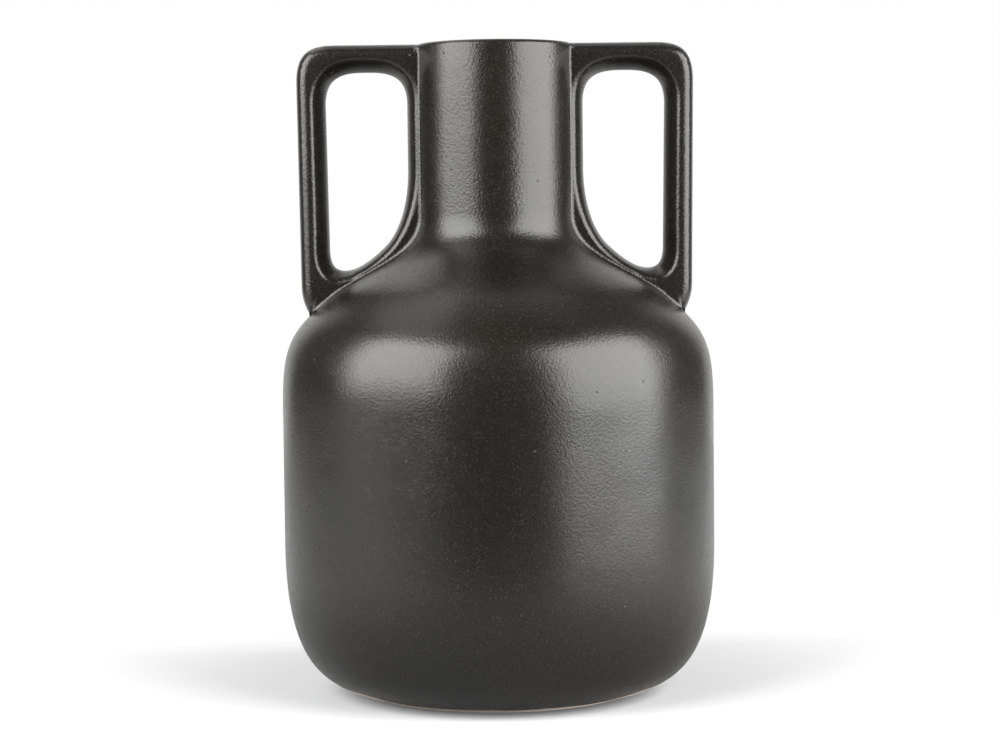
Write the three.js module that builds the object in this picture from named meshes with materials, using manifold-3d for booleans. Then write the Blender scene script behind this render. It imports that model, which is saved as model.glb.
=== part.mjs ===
// A two-handled ceramic vase: a wide rounded belly, a slim straight neck and two closed loop
// handles that stand from the shoulder to the rim. Millimetres, +Z up, the foot stands on z = 0.
import * as THREE from "three";
import { mergeVertices } from "three/addons/utils/BufferGeometryUtils.js";
import Module from "manifold-3d";

// Driving dimensions of the turned body
const HEIGHT = 270;
const BELLY_RADIUS = 90;
const BELLY_LOW = 63;
const BELLY_HIGH = 112;
const SHOULDER_RADIUS = 71;
const SHOULDER_HEIGHT = 164.4;
const NECK_RADIUS = 33;
const NECK_START = 199.7;
const LIP_ROUND = 1.8;
const WALL = 5;
const FLOOR_TOP = 9;
const FLOOR_RADIUS = 58;
const FLOOR_PULL = 8;
const CORNER_HEIGHT = 2.5;
const CORNER_PULL = 2.5;

// Foot: a bare ring of clay round a shallow recess
const FOOT_RADIUS = 56;
const FOOT_EDGE = 0.8;
const FOOT_BEVEL = 0.7;
const FOOT_INNER_RADIUS = 49.5;
const RECESS_HEIGHT = 3;
const RECESS_RADIUS = 46.5;
const RECESS_PULL = 2;

// Driving dimensions of a handle, seen from the front: distance from the axis, and height
const HANDLE_REACH = 82.4;
const HANDLE_LEAN = 0.9;
const HANDLE_TOP = 270;
const HANDLE_CORNER = 16;
const HANDLE_BAR_LOW = 169.5;
const HANDLE_HALF_DEPTH = 11.5;
const OUTER_ROUND = 5.2;
const OUTER_ROUND_DEPTH = 8.5;

// The handle's plate runs on into the body, which then trims it
const ROOT_RADIUS = 22;
const ROOT_LOW = 150;
const ROOT_OUTER_RADIUS = 70;

// Driving dimensions of the window inside a handle
const WINDOW_INNER = 36.5;
const WINDOW_OUTER = 70.4;
const WINDOW_LEAN = 0.9;
const WINDOW_TOP = 258.6;
const WINDOW_BOTTOM = 176.5;
const WINDOW_LOWEST_RADIUS = 63;
const WINDOW_BAR_LOW = 186;
const WINDOW_CORNER_WIDTH = 15.2;
const WINDOW_CORNER_HEIGHT = 13.6;
const SWEEP_START = 218;
const SWEEP_MIDDLE_RADIUS = 46.4;
const SWEEP_MIDDLE_HEIGHT = 186.3;
const WINDOW_ROUND = 6.2;
const WINDOW_ROUND_DEPTH = 10.8;

// The handles stop this far from the body's glaze
const JOINT_GAP = 0.3;

// Room by which a trimming solid runs past what it trims
const MARGIN = 12;

// Fineness of the facets
const TURN_SEGMENTS = 64;
const CURVE_STEPS = 9;
const FLOOR_STEPS = 3;
const LIP_STEPS = 8;
const ROUND_STEPS = 5;

// Outlines are lists of knots. Each knot has its place, the way the outline heads there (in
// degrees, 0 is away from the axis and 90 is up) and how far the curve keeps to that heading
// before and after the knot. Between knots that don't say how far, the outline is straight.
const BODY_OUTSIDE = [
  { at: [FOOT_RADIUS, FOOT_EDGE], heading: 9.55, after: 20.5 },
  { at: [BELLY_RADIUS, BELLY_LOW], heading: 90, before: 48.7 },
  { at: [BELLY_RADIUS, BELLY_HIGH], heading: 90, after: 24 },
  { at: [SHOULDER_RADIUS, SHOULDER_HEIGHT], heading: 139.47, before: 20.7, after: 21.4 },
  { at: [NECK_RADIUS, NECK_START], heading: 90, before: 18.9 },
  { at: [NECK_RADIUS, HEIGHT - LIP_ROUND] },
];

// Level top, one rounded corner, a slightly leaning bar, and a foot that turns in to the shoulder
const HANDLE_OUTLINE = [
  { at: [ROOT_RADIUS, HANDLE_TOP] },
  { at: [ROOT_RADIUS, ROOT_LOW] },
  { at: [ROOT_OUTER_RADIUS, ROOT_LOW], heading: 34, after: 7.2 },
  { at: [HANDLE_REACH - HANDLE_LEAN, HANDLE_BAR_LOW], heading: 88, before: 9 },
  { at: [HANDLE_REACH, HANDLE_TOP - HANDLE_CORNER], heading: 90, after: 12.2 },
  { at: [HANDLE_REACH - HANDLE_CORNER, HANDLE_TOP], heading: 180, before: 11.4 },
];

// Upright sides, rounded top corners, and a sweep below that follows neck and shoulder
const WINDOW_OUTLINE = [
  { at: [WINDOW_INNER, SWEEP_START], heading: 270, after: 13 },
  { at: [SWEEP_MIDDLE_RADIUS, SWEEP_MIDDLE_HEIGHT], heading: 315.8, before: 8.9, after: 6.4 },
  { at: [WINDOW_LOWEST_RADIUS, WINDOW_BOTTOM], heading: 0, before: 5.5, after: 4.5 },
  { at: [WINDOW_OUTER - WINDOW_LEAN, WINDOW_BAR_LOW], heading: 90, before: 7 },
  { at: [WINDOW_OUTER, WINDOW_TOP - WINDOW_CORNER_HEIGHT], heading: 90, after: 9.8 },
  { at: [WINDOW_OUTER - WINDOW_CORNER_WIDTH, WINDOW_TOP], heading: 180, before: 10.8 },
  { at: [WINDOW_INNER + WINDOW_CORNER_WIDTH, WINDOW_TOP], heading: 180, after: 10.8 },
  { at: [WINDOW_INNER, WINDOW_TOP - WINDOW_CORNER_HEIGHT], heading: 270, before: 9.8 },
];

const wasm = await Module();
wasm.setup();

// The point that lies a distance along a knot's heading
function along(knot, distance) {
  const angle = THREE.MathUtils.degToRad(knot.heading);
  return [knot.at[0] + distance * Math.cos(angle), knot.at[1] + distance * Math.sin(angle)];
}

// Draws a list of knots into a path or a shape
function draw(path, knots) {
  path.moveTo(...knots[0].at);
  for (let index = 1; index < knots.length; index += 1) {
    const from = knots[index - 1];
    const to = knots[index];
    if (from.after && to.before) {
      path.bezierCurveTo(...along(from, from.after), ...along(to, -to.before), ...to.at);
    } else {
      path.lineTo(...to.at);
    }
  }
  return path;
}

// The points of a list of knots, with each curve cut into a number of steps
function pointsOf(knots, steps) {
  return draw(new THREE.Path(), knots).getPoints(steps);
}

// A profile moved sideways by a distance, to the left of its direction of travel
function moved(profile, distance) {
  return profile.map((point, index) => {
    const before = profile[Math.max(index - 1, 0)];
    const after = profile[Math.min(index + 1, profile.length - 1)];
    const travel = after.clone().sub(before).normalize();
    return new THREE.Vector2(point.x - travel.y * distance, point.y + travel.x * distance);
  });
}

// A profile of radius and height turned about +Z
function turned(profile) {
  const geometry = new THREE.LatheGeometry(profile, TURN_SEGMENTS);
  return geometry.rotateX(Math.PI / 2);
}

// A geometry as a closed solid, with its shared vertices merged
function toSolid(geometry) {
  geometry.deleteAttribute("normal");
  geometry.deleteAttribute("uv");
  const merged = mergeVertices(geometry, 1e-4);
  return new wasm.Manifold(
    new wasm.Mesh({
      numProp: 3,
      vertProperties: merged.getAttribute("position").array,
      triVerts: new Uint32Array(merged.index.array),
    }),
  );
}

// A solid back as a geometry with flat facets
function toGeometry(solid) {
  const mesh = solid.getMesh();
  const indexed = new THREE.BufferGeometry();
  indexed.setAttribute("position", new THREE.BufferAttribute(mesh.vertProperties, 3));
  indexed.setIndex(new THREE.BufferAttribute(mesh.triVerts, 1));
  const geometry = indexed.toNonIndexed();
  geometry.computeVertexNormals();
  return geometry;
}

// The underside, from the axis over the recess to the ring that the vase stands on
function undersideProfile() {
  return [
    new THREE.Vector2(0, RECESS_HEIGHT),
    ...pointsOf(
      [
        { at: [RECESS_RADIUS, RECESS_HEIGHT], heading: 0, after: RECESS_PULL },
        { at: [FOOT_INNER_RADIUS, 0], heading: 290, before: RECESS_PULL },
        { at: [FOOT_RADIUS - FOOT_BEVEL, 0] },
      ],
      FLOOR_STEPS,
    ),
  ];
}

// The rounded lip, from its outside over to its inside, both ends left out
function lipProfile() {
  const halfWall = WALL / 2;
  const lip = [];
  for (let step = 1; step < LIP_STEPS; step += 1) {
    const angle = (Math.PI * step) / LIP_STEPS;
    const radius = NECK_RADIUS - halfWall + halfWall * Math.cos(angle);
    lip.push(new THREE.Vector2(radius, HEIGHT - LIP_ROUND + LIP_ROUND * Math.sin(angle)));
  }
  return lip;
}

// The inside, from the lip down the wall and over a soft corner to the middle of the floor
function insideProfile(outside) {
  const cornerTop = FLOOR_TOP + CORNER_HEIGHT;
  const wall = moved(outside, WALL).filter((point) => point.y > cornerTop).reverse();
  const wallEnd = wall.pop();
  return [
    ...wall,
    ...pointsOf(
      [
        { at: wallEnd.toArray(), heading: 225, after: CORNER_PULL },
        { at: [FLOOR_RADIUS, FLOOR_TOP], heading: 180, before: FLOOR_PULL },
      ],
      FLOOR_STEPS,
    ),
    new THREE.Vector2(0, FLOOR_TOP),
  ];
}

// The body is one open shell: a recessed foot, a wall of even thickness and a rounded lip
function makeBody() {
  const outside = pointsOf(BODY_OUTSIDE, CURVE_STEPS);
  return turned([
    ...undersideProfile(),
    ...outside,
    ...lipProfile(),
    ...insideProfile(outside),
  ]);
}

// The space that the body fills, grown by the gap, with no hollow: it trims the handles
function makeBodyClearance() {
  const grown = moved(pointsOf(BODY_OUTSIDE, CURVE_STEPS), -JOINT_GAP);
  const above = HEIGHT + MARGIN;
  return toSolid(
    turned([
      new THREE.Vector2(0, grown[0].y),
      ...grown,
      new THREE.Vector2(grown[grown.length - 1].x, above),
      new THREE.Vector2(0, above),
    ]),
  );
}

// A plate cut from a shape, centred on y = 0, with its edges rounded inwards
function roundedPlate(shape, round, roundDepth) {
  const depth = 2 * (HANDLE_HALF_DEPTH - roundDepth);
  const geometry = new THREE.ExtrudeGeometry(shape, {
    depth,
    curveSegments: CURVE_STEPS,
    bevelEnabled: true,
    bevelSize: round,
    bevelOffset: -round,
    bevelThickness: roundDepth,
    bevelSegments: ROUND_STEPS,
  });
  return toSolid(geometry.translate(0, 0, -depth / 2).rotateX(Math.PI / 2));
}

// A plate larger than the handle, with the handle's window in it
function windowShape() {
  const shape = draw(new THREE.Shape(), [
    { at: [ROOT_RADIUS - MARGIN, ROOT_LOW - MARGIN] },
    { at: [HANDLE_REACH + MARGIN, ROOT_LOW - MARGIN] },
    { at: [HANDLE_REACH + MARGIN, HANDLE_TOP + MARGIN] },
    { at: [ROOT_RADIUS - MARGIN, HANDLE_TOP + MARGIN] },
  ]);
  shape.holes.push(draw(new THREE.Path(), WINDOW_OUTLINE));
  return shape;
}

// One loop handle on the +X side: a slab with a wide outer rounding, a window with its own
// softer edge, and a seat that follows the neck and the shoulder
function makeHandle() {
  const outlineShape = draw(new THREE.Shape(), HANDLE_OUTLINE);
  const slab = roundedPlate(outlineShape, OUTER_ROUND, OUTER_ROUND_DEPTH);
  const windowed = roundedPlate(windowShape(), WINDOW_ROUND, WINDOW_ROUND_DEPTH);
  return toGeometry(slab.intersect(windowed).subtract(makeBodyClearance()));
}

// Dark satin glaze of every piece
function glaze() {
  return new THREE.MeshStandardMaterial({ color: 0x3b3833, roughness: 0.45, metalness: 0 });
}

// One named piece of the vase
function addMesh(group, name, geometry) {
  const mesh = new THREE.Mesh(geometry, glaze());
  mesh.name = name;
  group.add(mesh);
  return mesh;
}

const vase = new THREE.Group();
addMesh(vase, "body", makeBody());
const handleGeometry = makeHandle();
addMesh(vase, "right_handle", handleGeometry);
const leftHandle = addMesh(vase, "left_handle", handleGeometry);
leftHandle.rotation.z = Math.PI;

export default vase;
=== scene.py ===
# %% [markdown]
# # A two-handled stoneware vase
# This lesson dresses a imported CAD model of a dark glazed vase. The real one is cast clay: one
# thin-walled body with a foot ring, and two closed loop handles joined to neck and shoulder
# with slip. The whole is dipped in a satin glaze, and only the foot is wiped bare.
# We load the CAD model as a fixed frame first.

# %% Load the frame
import math

import bpy
import numpy as np
from mathutils import Matrix, Vector


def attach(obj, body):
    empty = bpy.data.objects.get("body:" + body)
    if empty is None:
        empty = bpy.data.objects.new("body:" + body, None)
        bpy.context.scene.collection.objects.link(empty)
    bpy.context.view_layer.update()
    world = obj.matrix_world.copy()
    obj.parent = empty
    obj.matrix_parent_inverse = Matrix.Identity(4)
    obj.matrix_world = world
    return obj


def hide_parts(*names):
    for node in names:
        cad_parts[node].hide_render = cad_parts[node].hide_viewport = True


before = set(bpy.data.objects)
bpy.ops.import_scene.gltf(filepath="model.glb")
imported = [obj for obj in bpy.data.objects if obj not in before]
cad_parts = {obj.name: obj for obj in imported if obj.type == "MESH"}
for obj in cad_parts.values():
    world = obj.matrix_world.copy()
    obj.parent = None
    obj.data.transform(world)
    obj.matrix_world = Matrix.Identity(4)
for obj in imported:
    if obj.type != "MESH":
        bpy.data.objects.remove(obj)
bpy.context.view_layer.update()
MM = 0.001

# %% [markdown]
# ## The camera
# A camera is placed before anything is modelled, because every later choice is judged through
# it. The photograph is taken with a long lens from a little above the vase's middle, pitched
# slightly down and with a small roll. A constraint could aim a camera at the vase, but it would
# lose the roll, so the camera's matrix is built from those plain numbers, in metres and degrees.

# %% Set the camera
CAMERA_DISTANCE = 1.0536
CAMERA_HEIGHT = 0.1990
CAMERA_PITCH = math.radians(3.634)
CAMERA_ROLL = math.radians(0.639)
FOCAL_PIXELS = 2518.6
PICTURE_WIDTH = 1000
PICTURE_CENTRE_X = 497.9
SENSOR_WIDTH = 36.0

camera_data = bpy.data.cameras.new("camera")
camera_data.sensor_width = SENSOR_WIDTH
camera_data.lens = FOCAL_PIXELS * SENSOR_WIDTH / PICTURE_WIDTH
camera_data.shift_x = 0.5 - PICTURE_CENTRE_X / PICTURE_WIDTH
camera = bpy.data.objects.new("camera", camera_data)
bpy.context.scene.collection.objects.link(camera)
place = Matrix.Translation((0, -CAMERA_DISTANCE, CAMERA_HEIGHT))
tilt = Matrix.Rotation(math.pi / 2 - CAMERA_PITCH, 4, "X")
roll = Matrix.Rotation(-CAMERA_ROLL, 4, "Z")
camera.matrix_world = place @ tilt @ roll
bpy.context.scene.camera = camera
print("lens in millimetres:", round(camera_data.lens, 1))

# %% [markdown]
# ## Outlines from knots
# Every outline of the vase is drawn as a designer would draw a template: a few knots, each with
# its place (radius and height in millimetres), the way the outline heads there (0 is away from
# the axis and 90 is up), and how far the curve keeps to that heading before and after it.
# Between knots that don't say how far, the outline is straight. Curve objects could hold the
# same knots, but the handles have to be measured along these lines, and rows of plain numbers
# make that easy.

# %% Draw a line through knots
CURVE_STEPS = 26
STRAIGHT_STEPS = 6


def along(knot, distance):
    """The point that lies a distance along a knot's heading."""
    angle = math.radians(knot["heading"])
    return np.array(knot["at"]) + distance * np.array([math.cos(angle), math.sin(angle)])


def draw(knots, steps=CURVE_STEPS):
    """The points of an outline, as rows of (radius, height)."""
    line = [np.array(knots[0]["at"], dtype=float)]
    share = np.linspace(0, 1, steps + 1)[1:, None]
    for start, end in zip(knots, knots[1:]):
        first, last = np.array(start["at"]), np.array(end["at"])
        if "after" in start and "before" in end:
            pull, push = along(start, start["after"]), along(end, -end["before"])
            line.extend(
                (1 - share) ** 3 * first
                + 3 * (1 - share) ** 2 * share * pull
                + 3 * (1 - share) * share**2 * push
                + share**3 * last
            )
        else:
            line.extend(np.linspace(first, last, STRAIGHT_STEPS + 1)[1:])
    return np.array(line)


print("points on each curve and each straight:", CURVE_STEPS, STRAIGHT_STEPS)

# %% [markdown]
# ### Measuring a line
# Four small tools ask about a finished line: where it heads, what lies beside it, how far it
# has travelled, and what its points would be at other places. Geometry nodes could answer the
# same for curve objects. Here each tool is a sum over rows of numbers, so the rings of the
# handles can use them hundreds of times.

# %% Measure a line
TINY = 1e-9


def headings(line):
    """Unit vectors along a line at each of its points."""
    travel = np.gradient(line, axis=0)
    return travel / np.maximum(np.linalg.norm(travel, axis=1), TINY)[:, None]


def moved(line, distance):
    """A line moved sideways by a distance, to the left of its direction of travel."""
    travel = headings(line)
    return line + distance * np.stack([-travel[:, 1], travel[:, 0]], axis=1)


def travelled(line):
    """How far along a line each of its points lies."""
    return np.concatenate([[0.0], np.cumsum(np.linalg.norm(np.diff(line, axis=0), axis=1))])


def resampled(line, run, wanted):
    """The points of a line at the wanted values of its running measure."""
    return np.stack([np.interp(wanted, run, line[:, axis]) for axis in (0, 1)], axis=1)


print("a line from (0, 0) to (3, 4) is", travelled(np.array([(0, 0), (3, 4)]))[-1], "long")

# %% [markdown]
# ## The body's outline
# The body is a squat round jar with a slim throat. Its outside is one line: out and up from the
# foot, straight up the belly, in over the shoulder and through a hollow curve into the neck. A
# spline through many points would wobble, so six knots with headings hold it, and each round
# stretch stays round.

# %% The body's outline
HEIGHT = 270
BELLY_RADIUS = 90
NECK_RADIUS = 33
WALL = 5
LIP_ROUND = 1.8
LIP_STEPS = 16
FOOT_RADIUS = 56
FOOT_EDGE = 0.8

OUTSIDE = draw(
    [
        {"at": (FOOT_RADIUS, FOOT_EDGE), "heading": 9.55, "after": 20.5},
        {"at": (BELLY_RADIUS, 63), "heading": 90, "before": 48.7},
        {"at": (BELLY_RADIUS, 120), "heading": 90, "after": 26},
        {"at": (71, 164.4), "heading": 139.47, "before": 20, "after": 21.4},
        {"at": (NECK_RADIUS, 199.7), "heading": 90, "before": 18.9},
        {"at": (NECK_RADIUS, HEIGHT - LIP_ROUND)},
    ]
)


def lip_line():
    """The rounded lip, from the outside over to the inside, both ends left out."""
    angle = np.linspace(0, math.pi, LIP_STEPS + 1)[1:-1]
    across = NECK_RADIUS - WALL / 2 + WALL / 2 * np.cos(angle)
    return np.stack([across, HEIGHT - LIP_ROUND + LIP_ROUND * np.sin(angle)], axis=1)


print("points on the outside:", len(OUTSIDE))

# %% [markdown]
# ### The wall's whole line
# The line goes on from the outside over the rounded lip and down the inside to the floor, and
# at its other end round the foot ring into the recess beneath it. A solidify modifier could
# thicken the outside alone, but the foot ring and the floor have shapes of their own, so the
# inside is the outside moved in by the wall, and the rest is drawn from knots.

# %% The wall's whole line
FLOOR_TOP = 9
FLOOR_RADIUS = 58
FLOOR_FILLET = 2.5
FLOOR_STEPS = 8
FOOT_BEVEL = 0.7
FOOT_BEVEL_HOLD = 0.4
FOOT_INNER_RADIUS = 49.5
FOOT_STEPS = 5
RECESS_HEIGHT = 3
RECESS_RADIUS = 46.5
RECESS_HOLD = 2


def body_line():
    """The closed line of the wall, from the axis under the foot to the axis on the floor."""
    recess = draw(
        [
            {"at": (0, RECESS_HEIGHT)},
            {"at": (RECESS_RADIUS, RECESS_HEIGHT), "heading": 0, "after": RECESS_HOLD},
            {"at": (FOOT_INNER_RADIUS, 0), "heading": 290, "before": RECESS_HOLD},
            {"at": (FOOT_RADIUS - FOOT_BEVEL, 0)},
        ],
        FLOOR_STEPS,
    )
    bevel = draw(
        [
            {"at": (FOOT_RADIUS - FOOT_BEVEL, 0), "heading": 0, "after": FOOT_BEVEL_HOLD},
            {"at": (FOOT_RADIUS, FOOT_EDGE), "heading": 90, "before": FOOT_BEVEL_HOLD},
        ],
        FOOT_STEPS,
    )
    inside = moved(OUTSIDE, WALL)
    inside = inside[inside[:, 1] > FLOOR_TOP + FLOOR_FILLET][::-1]
    floor_line = draw(
        [
            {"at": inside[-1], "heading": 225, "after": FLOOR_FILLET},
            {"at": (FLOOR_RADIUS, FLOOR_TOP), "heading": 180, "before": 8},
            {"at": (0, FLOOR_TOP)},
        ],
        FLOOR_STEPS,
    )
    return np.vstack([recess, bevel[1:], OUTSIDE[1:], lip_line(), inside, floor_line[1:]])


BODY_LINE = body_line()
print("points on the wall's line:", len(BODY_LINE))

# %% [markdown]
# ## Helpers for modelling
# Operators act on whatever is selected, and the loaded nodes are selected. Meshes can also be
# written from lists of points without any operator, but then nothing shows how they were
# modelled. So each piece starts by clearing the selection, and two helpers select an object and
# clean a finished shell.

# %% Modelling helpers


def only(obj):
    """Select and activate one object and nothing else."""
    bpy.ops.object.select_all(action="DESELECT")
    obj.select_set(True)
    bpy.context.view_layer.objects.active = obj


def tidy_shell(obj, merge_distance):
    """Merge doubled points, turn the faces outwards and shade them smooth."""
    only(obj)
    bpy.ops.object.mode_set(mode="EDIT")
    bpy.ops.mesh.select_all(action="SELECT")
    bpy.ops.mesh.remove_doubles(threshold=merge_distance)
    bpy.ops.mesh.normals_make_consistent(inside=False)
    bpy.ops.object.mode_set(mode="OBJECT")
    bpy.ops.object.shade_smooth()


# %% [markdown]
# ## The body
# A pot is a surface of revolution, so it is modelled as on the wheel. The screw modifier would
# turn a line as well, but edit mode leaves plain faces at once. A single point is pulled along
# the wall's line by extruding it again and again, and the finished line is ready to spin.

# %% Pull a point along the line


def pull_line(name, line):
    """One point, pulled along a line by extruding it."""
    bpy.ops.object.select_all(action="DESELECT")
    bpy.ops.mesh.primitive_plane_add(size=MM)
    obj = bpy.context.object
    obj.name = name
    obj.data.name = name
    bpy.ops.object.mode_set(mode="EDIT")
    bpy.ops.mesh.select_all(action="SELECT")
    bpy.ops.mesh.merge(type="CENTER")
    places = [Vector((radius, 0, height)) * MM for radius, height in line]
    bpy.ops.transform.translate(value=places[0])
    for start, end in zip(places, places[1:]):
        bpy.ops.mesh.extrude_region_move(TRANSFORM_OT_translate={"value": end - start})
    bpy.ops.object.mode_set(mode="OBJECT")
    return obj


body = pull_line("body_shell", BODY_LINE)
print("points pulled:", len(body.data.vertices))

# %% [markdown]
# ### Spinning the body
# The line is swept once round the axis, in steps fine enough for a smooth edge close up. Fewer
# steps and a subdivision modifier would be smooth too, but would pull the outline off its
# knots. The points on the axis fall together, so they are merged before the faces are turned
# outwards.

# %% Spin the line into the body
SPIN_STEPS = 192
MERGE_ON_BODY = 0.02

only(body)
bpy.ops.object.mode_set(mode="EDIT")
bpy.ops.mesh.select_all(action="SELECT")
bpy.ops.mesh.spin(steps=SPIN_STEPS, angle=2 * math.pi, center=(0, 0, 0), axis=(0, 0, 1))
bpy.ops.object.mode_set(mode="OBJECT")
tidy_shell(body, MERGE_ON_BODY * MM)
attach(body, "root")
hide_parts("body")
print("body faces:", len(body.data.polygons))

# %% [markdown]
# ## The handles
# Each handle is a closed loop round a D-shaped window. Its section changes all the way round: a
# full bar on the outside and the top, and only a low bead along the neck and the shoulder. A
# swept tube can't do that. So a torus, which already has the right connections, is the start,
# and each of its rings is laid by a small drawing of its own: square to the window's edge, out
# to the handle's outer edge or into the clay of the body. Its two outlines come first.

# %% Handle outlines
HANDLE_TOP = 270
BAR_REACH = 82.4
BAR_LEAN = 0.9
WINDOW_INNER = 36.5
WINDOW_OUTER = 70.4
WINDOW_LEAN = 0.9
WINDOW_TOP = 258.6
WINDOW_BOTTOM = 176.5
WINDOW_START = 218
CORNER_START = 245

WINDOW = draw(
    [
        {"at": (WINDOW_INNER, WINDOW_START), "heading": 270, "after": 13},
        {"at": (46.4, 186.3), "heading": 315.8, "before": 8.9, "after": 6.4},
        {"at": (63, WINDOW_BOTTOM), "heading": 0, "before": 5.5, "after": 4.5},
        {"at": (WINDOW_OUTER - WINDOW_LEAN, 186), "heading": 90, "before": 7},
        {"at": (WINDOW_OUTER, CORNER_START), "heading": 90, "after": 9.8},
        {"at": (55.2, WINDOW_TOP), "heading": 180, "before": 10.8},
        {"at": (51.7, WINDOW_TOP), "heading": 180, "after": 10.8},
        {"at": (WINDOW_INNER, CORNER_START), "heading": 270, "before": 9.8},
        {"at": (WINDOW_INNER, WINDOW_START)},
    ]
)
OUTER_EDGE = draw(
    [
        {"at": (70, 150), "heading": 34, "after": 7.2},
        {"at": (BAR_REACH - BAR_LEAN, 169.5), "heading": 88, "before": 9},
        {"at": (BAR_REACH, 254), "heading": 90, "after": 12.2},
        {"at": (66.4, HANDLE_TOP), "heading": 180, "before": 11.4},
        {"at": (22, HANDLE_TOP)},
    ]
)
print("window's width and height:", np.ptp(WINDOW, axis=0).round(1))

# %% [markdown]
# ### Where the rings lie
# Every ring starts on the window's edge and runs square to it until it meets a closed line of
# ends: the bar's outer edge and, on the side of neck and shoulder, a line a little inside the
# clay. Rings with evenly spaced starts would fan out wide at the outer corners. So they are
# spaced by what their starts and their ends travel together.

# %% Where the rings lie
RINGS = 256
FINE_STEPS = 8 * RINGS
BAR_LOW = 155
CLEAR_OF_NECK = 7
# Points that carry the line of ends over the lip, and round the seat's lower end.
OVER_LIP = [(31.8, HANDLE_TOP), (31.0, 269.8), (30.2, 268.6)]
SEAT_CORNER = (72.5, 157.5)
SEAT_DEPTH = 3.3
SEAT_LOW = 161
SEAT_HIGH = 266.5
SHORTEST_RING = 1


def ring_ends():
    """A closed line on which the rings end: the outer edge, and a line inside the clay."""
    beyond_neck = OUTER_EDGE[:, 0] > NECK_RADIUS + CLEAR_OF_NECK
    bar = OUTER_EDGE[(OUTER_EDGE[:, 1] > BAR_LOW) & beyond_neck]
    seat = moved(OUTSIDE, SEAT_DEPTH)
    seat = seat[(seat[:, 1] > SEAT_LOW) & (seat[:, 1] < SEAT_HIGH)][::-1]
    return np.vstack([bar, OVER_LIP, seat, [SEAT_CORNER], bar[:1]])


def cross(a, b):
    """The cross product of vectors in the plane."""
    return a[..., 0] * b[..., 1] - a[..., 1] * b[..., 0]


def reach(start, way, line):
    """How far from a point, in one direction, a line is met first."""
    corner, side = line[:-1], np.diff(line, axis=0)
    slant = cross(way, side)
    slant = np.where(abs(slant) < TINY, TINY, slant)
    distance = cross(corner - start, side) / slant
    share = cross(corner - start, way) / slant
    return distance[(share >= 0) & (share <= 1) & (distance > SHORTEST_RING)].min()


def lay_rings():
    """For each ring its start on the window's edge, its direction and its length."""
    run = travelled(WINDOW)
    fine = resampled(WINDOW, run, np.linspace(0, run[-1], FINE_STEPS + 1))
    travel = np.roll(fine[:-1], -1, axis=0) - np.roll(fine[:-1], 1, axis=0)
    travel = np.vstack([travel, travel[:1]])
    travel /= np.linalg.norm(travel, axis=1)[:, None]
    ways = np.stack([travel[:, 1], -travel[:, 0]], axis=1)
    line = ring_ends()
    lengths = np.array([reach(start, way, line) for start, way in zip(fine, ways)])
    ends = fine + ways * lengths[:, None]
    measure = travelled(fine) + travelled(ends)
    wanted = np.linspace(0, measure[-1], RINGS + 1)[:-1]
    starts = resampled(fine, measure, wanted)
    ends = resampled(ends, measure, wanted)
    lengths = np.linalg.norm(ends - starts, axis=1)
    return starts, (ends - starts) / lengths[:, None], lengths


RING_STARTS, RING_WAYS, RING_LENGTHS = lay_rings()
print("shortest and longest ring:", RING_LENGTHS.min().round(1), RING_LENGTHS.max().round(1))

# %% [markdown]
# ### The wall round the window
# The window's wall slopes, as cast ware must to leave its mould, and then turns tightly onto
# the flat front. A bevel modifier would give it one rounding everywhere. On the vase the slope
# and the turn swell and narrow on their way round, so each has a width at eleven places, eased
# from one to the next.

# %% The wall round the window
HALF_DEPTH = 11.5
WALL_RISE = 10.4
WALL_SLOPE = 50
WALL_UPRIGHT = 3.4
TURN_HOLD = 0.4
# Places on the window's edge, each with the width of the wall and of the turn above it.
WALLS = [
    {"at": (WINDOW_INNER, WINDOW_START), "widths": (3.3, 3.2)},
    {"at": (46.4, 186.3), "widths": (2.3, 1.9)},
    {"at": (57, 178), "widths": (1.9, 1.3)},
    {"at": (62, WINDOW_BOTTOM), "widths": (2.8, 2.0)},
    {"at": (67, 178.5), "widths": (4.8, 4.6)},
    {"at": (69.5, 187), "widths": (4.6, 4.0)},
    {"at": (69.9, 204), "widths": (4.4, 2.6)},
    {"at": (WINDOW_OUTER, CORNER_START), "widths": (4.4, 2.6)},
    {"at": (55.2, WINDOW_TOP), "widths": (4.3, 2.5)},
    {"at": (51.7, WINDOW_TOP), "widths": (4.2, 2.6)},
    {"at": (WINDOW_INNER, CORNER_START), "widths": (3.3, 3.2)},
]


def window_side(wall, turn):
    """The front's profile from the window's edge: a steep wall and a turn of given widths."""
    hold = TURN_HOLD * turn
    knots = [
        {"at": (0, 0), "heading": 90, "after": WALL_UPRIGHT},
        {"at": (wall, WALL_RISE), "heading": WALL_SLOPE, "before": wall, "after": hold},
        {"at": (wall + turn, HALF_DEPTH), "heading": 0, "before": hold},
    ]
    return draw(knots)


def wall_widths(places):
    """The widths of wall and turn at places on the window, eased from one to the next."""
    run = travelled(WINDOW)
    at = [run[np.linalg.norm(WINDOW - wall["at"], axis=1).argmin()] for wall in WALLS]
    at = np.array([*at, run[-1]])
    where = [run[np.linalg.norm(WINDOW - place, axis=1).argmin()] for place in places]
    span = np.clip(np.searchsorted(at, where, side="right") - 1, 0, len(at) - 2)
    share = (np.array(where) - at[span]) / (at[span + 1] - at[span])
    share = (share * share * (3 - 2 * share))[:, None]
    widths = np.array([wall["widths"] for wall in [*WALLS, WALLS[0]]])
    return widths[span] * (1 - share) + widths[span + 1] * share


RING_WIDTHS = wall_widths(RING_STARTS)
print("widest wall and turn:", RING_WIDTHS.max(axis=0).round(1))

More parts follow.
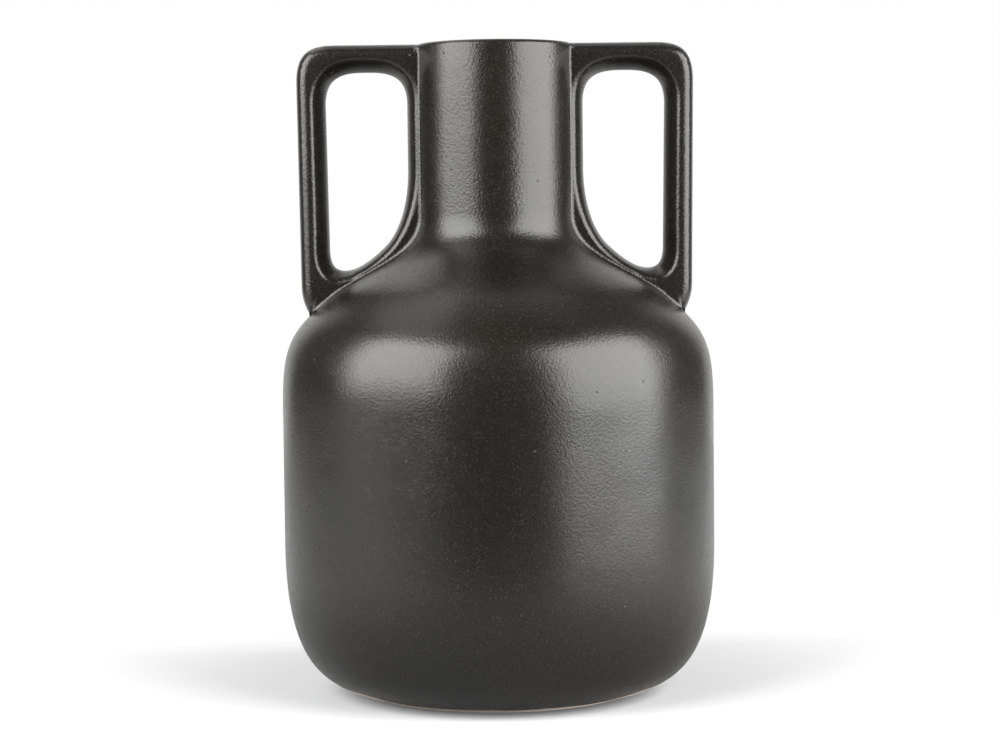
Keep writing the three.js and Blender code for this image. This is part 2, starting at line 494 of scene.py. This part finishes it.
# %% [markdown]
# ### Plate and body in the plane of a ring
# In the plane of one ring there are two surfaces. One is the handle's front, the lower of the
# window's wall and the outer side, which is steep with a wide turn. The other is the body
# behind it. A boolean union would find where they meet as well, but with ragged faces just
# where a highlight shows every one. Here both are lines, and the joint can be drawn on them.

# %% Plate and body in the plane of a ring
PLATE_STEPS = 360
SURFACE_STEPS = 1600
SURFACE_SPACING = 0.04
BEYOND_RING = 4
OUTER_SIDE = draw(
    [
        {"at": (0, 0), "heading": 90, "after": 9.3},
        {"at": (5.25, HALF_DEPTH), "heading": 0, "before": 3.4},
    ]
)
SILHOUETTE = np.vstack([OUTSIDE, lip_line()[: LIP_STEPS // 2]])


def distance_to(points, line):
    """The distance of each point from a line."""
    corner, side = line[:-1], np.diff(line, axis=0)
    share = ((points[:, None] - corner) * side).sum(axis=2) / (side**2).sum(axis=1)
    nearest = corner + np.clip(share, 0, 1)[..., None] * side
    return np.linalg.norm(points[:, None] - nearest, axis=2).min(axis=1)


def plate_front(start, way, length, widths):
    """The plate's front along one ring, as rows of (distance from the window, depth)."""
    across = length * (0.5 - 0.5 * np.cos(np.linspace(0, math.pi, PLATE_STEPS)))
    points = start + across[:, None] * way
    wall = np.interp(across, *window_side(*widths).T)
    side = np.interp(distance_to(points, OUTER_EDGE), *OUTER_SIDE.T)
    return np.stack([across, np.minimum(wall, side)], axis=1)


def body_front(start, way, length):
    """The body's surface in the plane of one ring, in the same measures, or nothing."""
    across = np.linspace(0, length + BEYOND_RING, SURFACE_STEPS)
    points = start + across[:, None] * way
    radius = np.interp(points[:, 1], SILHOUETTE[:, 1], SILHOUETTE[:, 0], right=0)
    depth = np.sqrt(np.maximum(radius**2 - points[:, 0] ** 2, 0))
    line = np.stack([across, depth], axis=1)[(depth > 0) & (depth < 2 * HALF_DEPTH)]
    if len(line) < 3:
        return None
    run = travelled(line)
    return resampled(line, run, np.arange(0, run[-1], SURFACE_SPACING))


print("outer side's width and depth:", OUTER_SIDE[-1])

# %% [markdown]
# ### The joint with the body
# Where the handle meets the body, slip was wiped along the joint with a finger. A bevel would
# need an edge to work on, and two separate pieces share none. A ball of small radius, rolled
# along the joint, leaves the same hollow as the finger: we look for the place where the ball
# touches both surfaces, let the ring follow its arc onto the body, and let it sink away there.

# %% The rolled joint
BALL = 1.9
TAIL = 1.6
TAIL_SINK = 0.25
ARC_STEPS = 14


def roll_ball(plate, surface, size):
    """Where a ball leaves the plate, and its arc with a tail that sinks into the surface."""
    radius = BALL * size
    # Centres a radius off the plate; the ball touches both where one is a radius off the body.
    travel = headings(plate)
    centres = plate + radius * np.stack([-travel[:, 1], travel[:, 0]], axis=1)
    gaps = np.linalg.norm(centres[:, None] - surface, axis=2)
    touching = np.nonzero(gaps.min(axis=1) < radius)[0]
    if len(touching) == 0 or touching[0] == 0:
        return None
    here = touching[0]
    centre, resting = centres[here], gaps[here].argmin()
    first, last = plate[here] - centre, surface[resting] - centre
    angles = np.unwrap([math.atan2(first[1], first[0]), math.atan2(last[1], last[0])])
    turn = np.linspace(*angles, ARC_STEPS)
    arc = centre + radius * np.stack([np.cos(turn), np.sin(turn)], axis=1)
    run = travelled(surface[resting:])[1:]
    kept = run < TAIL * size
    way = headings(surface)[resting + 1 :][kept]
    sink = (TAIL_SINK * size * (run[kept] / (TAIL * size)) ** 2)[:, None]
    tail = surface[resting + 1 :][kept] + sink * np.stack([way[:, 1], -way[:, 0]], axis=1)
    return here, np.vstack([arc, tail])


print("radius of the ball in millimetres:", BALL)

# %% [markdown]
# ### One closed ring
# A ring is the front's line and its mirror image behind. Points at even distances would miss
# the tight turns, so they lie closer together where the line turns. The same number of them
# lies on the window's wall of every ring, so the torus's edges run along the handle's crest and
# not across it. The ball is small where the joint ends, and its size changes along the seam.

# %% One closed ring
RING_POINTS = 144
WALL_SHARE = 0.45
TURN_WEIGHT = 3.0
# How many times the size of BALL the rolled ball is, by the height of the joint.
BALL_SIZES = [(158, 1.7), (166, 1.7), (171, 0.8), (176, 0.8), (186, 1.3), (200, 1.5), (218, 1)]
LEAVES_BODY = np.argmax(OUTER_EDGE[:, 0] > np.interp(OUTER_EDGE[:, 1], *OUTSIDE.T[::-1]))
JOINT_ENDS = np.array([(NECK_RADIUS, HANDLE_TOP), OUTER_EDGE[LEAVES_BODY]])
JOINT_FADE = 7
SMALLEST_BALL = 0.05
UNDER_PLATE = 0.9


def spread(line, count):
    """Points along a line, closer together where it turns."""
    travel = headings(line)
    turned = np.concatenate([[0], np.linalg.norm(np.diff(travel, axis=0), axis=1)])
    measure = travelled(line) + TURN_WEIGHT * np.cumsum(turned)
    return resampled(line, measure, np.linspace(0, measure[-1], count))


def ring_section(start, way, length, widths):
    """One closed ring as rows of (distance from the window's edge, depth to the front)."""
    plate = plate_front(start, way, length, widths)
    surface = body_front(start, way, length)
    middle = np.array([[length, 0.0]])
    crest = np.searchsorted(plate[:, 0], widths.sum())
    front = plate
    if surface is not None:
        place = start + surface[0, 0] * way
        near_end = np.linalg.norm(JOINT_ENDS - place, axis=1).min()
        size = np.clip(near_end / JOINT_FADE, SMALLEST_BALL, 1)
        size *= np.interp(place[1], *zip(*BALL_SIZES))
        rolled = roll_ball(plate, surface, size)
        if rolled is not None:
            here, arc = rolled
            crest = min(crest, here)
            under = np.array([[max(length, arc[-1, 0]), plate[-1, 1] * UNDER_PLATE]])
            front = np.vstack([plate[:here], arc, under])
            middle = under * [1, 0]
    half = RING_POINTS // 2
    first = int(half * WALL_SHARE)
    wall = spread(front[: crest + 1], first + 1)
    rest = spread(np.vstack([front[crest:], middle]), half - first + 1)
    front = np.vstack([wall, rest[1:]])
    back = front[half - 1 : 0 : -1] * [1, -1]
    return np.vstack([front, back])


HANDLE_POINTS = []
for start, way, length, widths in zip(RING_STARTS, RING_WAYS, RING_LENGTHS, RING_WIDTHS):
    for across, depth in ring_section(start, way, length, widths):
        radius, height = start + across * way
        HANDLE_POINTS.append((radius, -depth, height))
print("points on a handle:", len(HANDLE_POINTS))

# %% [markdown]
# ### Laying the rings
# A torus has closed rings that are joined to their neighbours already, so only its points have
# to be placed. A mirror modifier would make the left handle out of the right one, but as part
# of the same object, and each handle is a piece of its own. So both use the same points, on the
# left with the radius turned round. That turns the faces over as well, so they are turned
# outwards again at the end.

# %% Lay the torus's rings
TORUS_RADIUS = 40
TORUS_THICKNESS = 6
MERGE_ON_HANDLE = 0.001


def make_handle(name, side):
    """A torus whose rings are laid round the window; side is 1 for +X and -1 for -X."""
    bpy.ops.object.select_all(action="DESELECT")
    bpy.ops.mesh.primitive_torus_add(
        major_segments=RINGS,
        minor_segments=RING_POINTS,
        major_radius=TORUS_RADIUS * MM,
        minor_radius=TORUS_THICKNESS * MM,
    )
    handle = bpy.context.object
    handle.name = name
    handle.data.name = name
    for vertex, (radius, depth, height) in zip(handle.data.vertices, HANDLE_POINTS):
        vertex.co = Vector((side * radius, depth, height)) * MM
    tidy_shell(handle, MERGE_ON_HANDLE * MM)
    return handle


handles = {}
for name, side in (("left_handle_loop", -1), ("right_handle_loop", 1)):
    handles[name] = make_handle(name, side)
    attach(handles[name], "root")
    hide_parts(name.replace("_loop", ""))
print("handle faces:", [len(handle.data.polygons) for handle in handles.values()])

# %% [markdown]
# ## Shader arithmetic
# The finish of the vase is made of nodes. They could be placed and linked one by one, but a
# material is easier to read as a sum than as a web. This small class wraps one socket, and each
# operator adds one Math node, so a line of Python reads like the formula.

# %% Sockets that can be added and multiplied


class Wire:
    """A node's output that knows its tree, with arithmetic on values."""

    def __init__(self, tree, socket):
        self.tree = tree
        self.socket = socket

    def node(self, kind, settings=None, **inputs):
        """Add a node, fill its inputs by name or _number and give back its first output."""
        made = self.tree.nodes.new(kind)
        for key, value in (settings or {}).items():
            setattr(made, key, value)
        for key, value in inputs.items():
            name = int(key[1:]) if key[0] == "_" else key.replace("_", " ")
            if isinstance(value, Wire):
                self.tree.links.new(value.socket, made.inputs[name])
            else:
                made.inputs[name].default_value = value
        return Wire(self.tree, next(s for s in made.outputs if s.enabled))

    def maths(self, operation, other=0.0):
        """One Math node with this as its first value."""
        return self.node("ShaderNodeMath", {"operation": operation}, _0=self, _1=other)

    def __add__(self, other):
        return self.maths("ADD", other)

    __radd__ = __add__

    def __mul__(self, other):
        return self.maths("MULTIPLY", other)

    __rmul__ = __mul__

    def __sub__(self, other):
        return self.maths("SUBTRACT", other)

    def __rsub__(self, other):
        return (self * -1.0) + other

    def between(self, low, high):
        """0 below low, 1 above high and a soft step in between."""
        return self.node(
            "ShaderNodeMapRange",
            {"interpolation_type": "SMOOTHSTEP"},
            Value=self,
            From_Min=low,
            From_Max=high,
        )

    def mix(self, low, high):
        """Colour low where this is 0 and high where it is 1."""
        return self.node("ShaderNodeMix", {"data_type": "RGBA"}, _0=self, _6=low, _7=high)

    def noise(self, scale, detail=2.0, roughness=0.5):
        """Noise round this vector, about 1 / scale metres coarse."""
        return self.node(
            "ShaderNodeTexNoise",
            Vector=self,
            Scale=scale,
            Detail=detail,
            Roughness=roughness,
        )

    def split(self):
        """The three values of this vector."""
        parts = self.node("ShaderNodeSeparateXYZ", _0=self).socket.node.outputs
        return [Wire(self.tree, part) for part in parts]


def new_material(name):
    """A new material's own data, its shader and Object coordinates."""
    material = bpy.data.materials.new(name)
    material.use_nodes = True
    tree = material.node_tree
    coordinates = tree.nodes.new("ShaderNodeTexCoord").outputs["Object"]
    return material, tree.nodes["Principled BSDF"], Wire(tree, coordinates)


def plug(wire, shader, name):
    """Connect a wire to one of a shader's inputs."""
    wire.tree.links.new(wire.socket, shader.inputs[name])


print("operators on a wire: + - *")

# %% [markdown]
# ## The glaze
# The glaze is satin black, a little brown in patches and more so towards the top. What sells it
# is the surface: an orange-peel grain under a millimetre across, which breaks the edges of each
# highlight into sparks, a few pinholes, and slow waves left by casting and dipping. A painted
# picture of all that would stretch over the pot, so it comes from noise in Object coordinates.
# The foot was wiped before firing: bare clay shows up to a few millimetres, higher at the two
# sides, and in the recess beneath, and the glaze ends in a thin rust line.

# %% Numbers of the glaze
GLAZE_WARM = (0.0060, 0.0044, 0.0027, 1)
GLAZE_NEUTRAL = (0.0042, 0.0040, 0.0037, 1)
SPECK = (0.024, 0.021, 0.017, 1)
CLAY = (0.74, 0.67, 0.58, 1)
RUST = (0.15, 0.055, 0.02, 1)
GLAZE_IOR = 1.5
# The scale of each noise: the higher, the finer.
GRAIN_SCALE = 1050
SPECK_SCALE = 1500
MOTTLE_SCALE = 260
WAVE_SCALE = 38
PATCH_SCALE = 14
WOBBLE_SCALE = 60
PIT_SCALE = 90
# The values of a noise between which its marks come in.
SPECK_STEP = (0.55, 0.78)
PATCH_STEP = (0.35, 0.65)
PIT_STEP = (0.035, 0.06)
# The roughness of the plain glaze, and what each mark adds to it.
GLAZE_ROUGHNESS = 0.17
PATCH_ROUGHNESS = 0.05
MOTTLE_ROUGHNESS = 0.09
GRAIN_ROUGHNESS = 0.04
PIT_ROUGHNESS = 0.2
CLAY_ROUGHNESS = 0.5
# Heights on the vase, and distances from its axis, between which something changes.
WARMER_UP = np.array((60, 170)) * MM
COARSER_UP = np.array((110, 190)) * MM
BARE_UP_TO = np.array((3.1, 3.3)) * MM
RUST_UP_TO = np.array((3.4, 4.2)) * MM
SIDES = np.array((30, 60)) * MM
RECESS_EDGE = np.array((49, 51)) * MM
# How much the glaze's lower edge wanders, and how much higher it is at the sides.
WOBBLE = 1.2 * MM
HIGHER_AT_SIDES = 3.2 * MM
# Depths of the relief.
PEEL_ON_BELLY = 0.085 * MM
PEEL_MORE_ON_NECK = 0.045 * MM
WAVE_DEPTH = 0.35 * MM
PIT_DEPTH = 0.08 * MM
print("grain about", round(1000 / GRAIN_SCALE, 2), "millimetres across")

# %% [markdown]
# ### The glaze's nodes
# Each noise is made once, and some serve twice, because a pinhole or a thin patch of a real
# glaze shows in its shine as well as in its relief or colour. Separate noises would look like
# dirt on the surface. The relief could be displaced points, but the grain is far finer than any
# mesh that the vase could carry, so it is a bump.

# %% The glaze material


def make_glaze():
    """The satin black glaze, with the wiped foot."""
    material, shader, place = new_material("dark_glaze")
    across, inwards, height = place.split()

    grain = place.noise(GRAIN_SCALE, 2.0, 0.55)
    specks = place.noise(SPECK_SCALE, 1.0).between(*SPECK_STEP)
    mottle = place.noise(MOTTLE_SCALE)
    waves = place.noise(WAVE_SCALE, 1.0)
    patches = place.noise(PATCH_SCALE)
    pits = place.node("ShaderNodeTexVoronoi", Vector=place, Scale=PIT_SCALE)
    pits = 1.0 - pits.between(*PIT_STEP)

    sides = (across * across).between(*SIDES**2)
    recess = 1.0 - (across * across + inwards * inwards).between(*RECESS_EDGE**2)
    edge = height + place.noise(WOBBLE_SCALE, 3.0) * WOBBLE
    edge = edge - sides * HIGHER_AT_SIDES - recess * (RECESS_HEIGHT * MM)
    bare = 1.0 - edge.between(*BARE_UP_TO)
    rust = 1.0 - edge.between(*RUST_UP_TO)

    tint = patches.between(*PATCH_STEP) * 0.5 + height.between(*WARMER_UP) * 0.5
    colour = tint.mix(GLAZE_NEUTRAL, GLAZE_WARM)
    colour = specks.mix(colour, SPECK)
    colour = rust.mix(colour, RUST)
    colour = bare.mix(colour, CLAY)
    plug(colour, shader, "Base Color")

    rough = GLAZE_ROUGHNESS + patches * PATCH_ROUGHNESS + mottle * MOTTLE_ROUGHNESS
    rough = rough + grain * GRAIN_ROUGHNESS + pits * PIT_ROUGHNESS + bare * CLAY_ROUGHNESS
    plug(rough, shader, "Roughness")

    peel = PEEL_ON_BELLY + height.between(*COARSER_UP) * PEEL_MORE_ON_NECK
    relief = grain * peel + waves * WAVE_DEPTH - pits * PIT_DEPTH
    bump = relief.node("ShaderNodeBump", Strength=1.0, Distance=1.0, Height=relief)
    plug(bump, shader, "Normal")
    shader.inputs["IOR"].default_value = GLAZE_IOR
    return material


glaze = make_glaze()
for piece in [body, *handles.values()]:
    piece.data.materials.clear()
    piece.data.materials.append(glaze)
print("nodes in the glaze:", len(glaze.node_tree.nodes))

# %% [markdown]
# ## The floor
# The photograph's ground was cut away, but the vase still mirrors it. One white plane would
# shine far too brightly in the glaze, so the floor is two sheets at one height. The camera sees
# a white one that takes the vase's shadow. The vase is lit by and mirrors a grey one, a copy of
# the floor with painted shade, which stops short of the camera, because the studio is dark
# there.

# %% Floor sheets
FLOOR_REACH = 1.5
FLOOR_CORNERS = 96
GREY_FRONT = 0.42


def make_disc(name):
    """A round sheet on the ground."""
    bpy.ops.object.select_all(action="DESELECT")
    bpy.ops.mesh.primitive_circle_add(
        vertices=FLOOR_CORNERS, radius=FLOOR_REACH, fill_type="NGON"
    )
    bpy.context.object.name = name
    return bpy.context.object


def make_bounce():
    """The grey floor, with painted shade, that lights the vase and is mirrored in it, cut off
    towards the camera.
    """
    disc = make_disc("bounce_floor")
    bpy.ops.object.mode_set(mode="EDIT")
    bpy.ops.mesh.select_all(action="SELECT")
    bpy.ops.mesh.bisect(
        plane_co=(0, -GREY_FRONT, 0), plane_no=(0, 1, 0), clear_inner=True, use_fill=False
    )
    bpy.ops.object.mode_set(mode="OBJECT")
    disc.visible_camera = False
    disc.visible_shadow = False
    return disc


def make_sheet():
    """The white sheet that the camera sees, which takes the vase's shadow."""
    disc = make_disc("floor")
    disc.visible_glossy = False
    disc.visible_diffuse = False
    disc.visible_shadow = False
    return disc


bounce = make_bounce()
sheet = make_sheet()
print("floor sheets:", bounce.name, sheet.name)

# %% [markdown]
# ### Papers for the floor
# The grey paper is darker in the middle than at the sides, as the glaze mirrors it in the
# photograph, and a little darker on the left: painted shade, where the studio in front of the
# vase is dim. A hole under the foot ring lets light onto the underside. The white paper fades
# into the white surround, so there is no horizon from any side. Colours painted on the sheets'
# points would need many more points, so both papers work from the place on the sheet.

# %% Papers for the floor
PAPER_ROUGHNESS = 0.9
# Painted shade: the grey floor's colours, darker in the middle and a little on the left.
BOUNCE_PAINTED_SHADE = (0.29, 0.29, 0.29, 1)
BOUNCE_PALE = (0.58, 0.58, 0.58, 1)
MIDDLE_TO_SIDE = (0.04, 0.33)
LEFT_TO_RIGHT = (-0.1, 0.1)
LEFT_SHARE = 0.85
HOLE_EDGE = (0.0545, 0.0553)
SHEET_WHITE = (0.8, 0.8, 0.8, 1)
FADE = (0.07, 0.28)
SIDEWAYS_SHARE = 0.8


def painted_shade_paper():
    """Grey with painted shade, darker in the middle than at the sides and a little on the left,
    with a hole under the foot ring.
    """
    material, shader, place = new_material("painted_shade_paper")
    shader.inputs["Roughness"].default_value = PAPER_ROUGHNESS
    across = place.split()[0]
    # The darker middle and the darker left are painted shade.
    sideways = across.maths("ABSOLUTE").between(*MIDDLE_TO_SIDE)
    rightness = across.between(*LEFT_TO_RIGHT) * (1 - LEFT_SHARE) + LEFT_SHARE
    plug((sideways * rightness).mix(BOUNCE_PAINTED_SHADE, BOUNCE_PALE), shader, "Base Color")
    distance = place.node("ShaderNodeVectorMath", {"operation": "LENGTH"}, _0=place)
    plug(distance.between(*HOLE_EDGE), shader, "Alpha")
    return material


def white_paper():
    """White that fades into the white surround with distance, and can't be seen from below."""
    material, shader, place = new_material("white_paper")
    shader.inputs["Roughness"].default_value = PAPER_ROUGHNESS
    shader.inputs["Base Color"].default_value = SHEET_WHITE
    stretch = {"operation": "MULTIPLY"}
    narrowed = place.node("ShaderNodeVectorMath", stretch, _0=place, _1=(SIDEWAYS_SHARE, 1, 1))
    distance = place.node("ShaderNodeVectorMath", {"operation": "LENGTH"}, _0=narrowed)
    geometry = place.tree.nodes.new("ShaderNodeNewGeometry")
    underneath = Wire(place.tree, geometry.outputs["Backfacing"])
    plug((1.0 - distance.between(*FADE)) * (1.0 - underneath), shader, "Alpha")
    return material


for floor_part, paper in ((bounce, painted_shade_paper()), (sheet, white_paper())):
    floor_part.data.materials.append(paper)
    print(floor_part.name, "is covered with", paper.name)

# %% [markdown]
# ## The lights
# A dark glossy pot is lit by what it mirrors. Two tall soft boxes, left and right of the
# camera, give the two bands on the neck and the two soft patches on the shoulder, and the dark
# room between them draws the line down the middle. A wide dim panel high on the left, a pale
# wall behind and a ceiling stand for the room. A sky picture could hold all of it, but area
# lights can be moved one at a time until each mirror image sits where the photograph has it.
# Each has a luminance, since that is what its mirror image shows, and its watts follow from it.

# %% Soft boxes
BOX_DISTANCE = 1.1
LEFT_BOX = {"azimuth": -57.6, "width": 1.27, "low": 0.192, "high": 1.29, "lean": 0.16}
RIGHT_BOX = {"azimuth": 62.5, "width": 1.40, "low": 0.0, "high": 1.13, "lean": 0.16}
HIGH_PANEL = {"azimuth": -104, "width": 3.4, "low": 1.52, "high": 4.2}
BACK_WALL = {"azimuth": 180, "width": 1.7, "low": 0.0, "high": 1.1}
CEILING_HEIGHT = 2.0
CEILING_BACK = 0.9
CEILING_SIZE = 1.5


def area_light(name, luminance, width, height):
    """A rectangular light of a given luminance, hidden from the camera."""
    light = bpy.data.lights.new(name, "AREA")
    light.shape = "RECTANGLE"
    light.size = width
    light.size_y = height
    light.energy = luminance * math.pi * light.size * light.size_y
    obj = bpy.data.objects.new(name, light)
    bpy.context.scene.collection.objects.link(obj)
    obj.visible_camera = False
    return obj


def soft_box(name, luminance, azimuth, width, low, high, lean=0.0):
    """A box beside the vase, its top leaning in; azimuth 0 is the camera's side and + is +X."""
    box = area_light(name, luminance, width, math.hypot(high - low, 2 * lean))
    turn = math.radians(azimuth)
    middle = (low + high) / 2
    box.location = (BOX_DISTANCE * math.sin(turn), -BOX_DISTANCE * math.cos(turn), middle)
    box.rotation_euler = (math.atan2(high - low, 2 * lean), 0, turn)
    return box


boxes = [
    soft_box("left_box", 8.4, **LEFT_BOX),
    soft_box("right_box", 8.1, **RIGHT_BOX),
    soft_box("high_panel", 1.18, **HIGH_PANEL),
    soft_box("back_wall", 0.75, **BACK_WALL),
]
ceiling = area_light("ceiling", 0.5, CEILING_SIZE, CEILING_SIZE)
ceiling.location = (0, CEILING_BACK, CEILING_HEIGHT)
print("watts:", {box.name: round(box.data.energy, 1) for box in [*boxes, ceiling]})

# %% [markdown]
# ## The surround
# The photograph's background is pure white, but a white room would flood the glaze. A white
# wall behind the vase would do for one camera. The world can do it for all of them: it shows
# white to the camera's own rays and stays dim for every other ray.

# %% Surround
ROOM_STRENGTH = 0.17
CAMERA_WHITE = 1.0

world = bpy.data.worlds.new("studio")
bpy.context.scene.world = world
world.use_nodes = True
air = world.node_tree
background = air.nodes["Background"]
seen = Wire(air, air.nodes.new("ShaderNodeLightPath").outputs["Is Camera Ray"])
plug(seen * (CAMERA_WHITE - ROOM_STRENGTH) + ROOM_STRENGTH, background, "Strength")
background.inputs["Color"].default_value = (1, 1, 1, 1)
bpy.context.scene.view_settings.view_transform = "Standard"
print("view transform:", bpy.context.scene.view_settings.view_transform)
